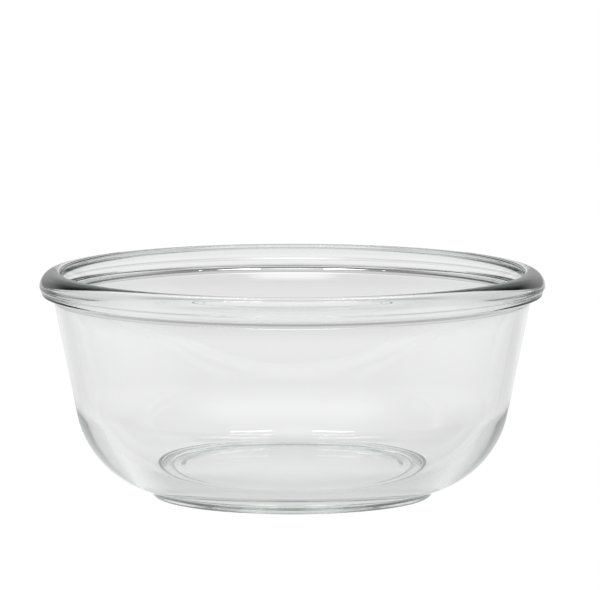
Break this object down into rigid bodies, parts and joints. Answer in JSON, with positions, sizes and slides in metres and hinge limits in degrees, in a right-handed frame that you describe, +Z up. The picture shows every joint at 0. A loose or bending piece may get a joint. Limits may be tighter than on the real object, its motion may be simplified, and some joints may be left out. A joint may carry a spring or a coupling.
{
  "type": "prep bowl",
  "caption": "Round clear glass prep bowl, pressed in one piece, with a rolled rim, a leaning wall, a rounded knuckle and a low foot ring.",
  "frame": {"origin": "centre of the circle that the foot ring stands on, on the bowl's axis", "axes": "+Z up along the bowl's axis of symmetry; +X and +Y are alike, because the bowl is round"},
  "size_m": [0.21, 0.21, 0.094],
  "materials": {
    "clear_glass": "fire-polished clear soda-lime glass, smooth inside and out, finely knurled under the foot"
  },
  "bodies": {
    "root": {"glass_bowl": "clear_glass"}
  },
  "joints": []
}
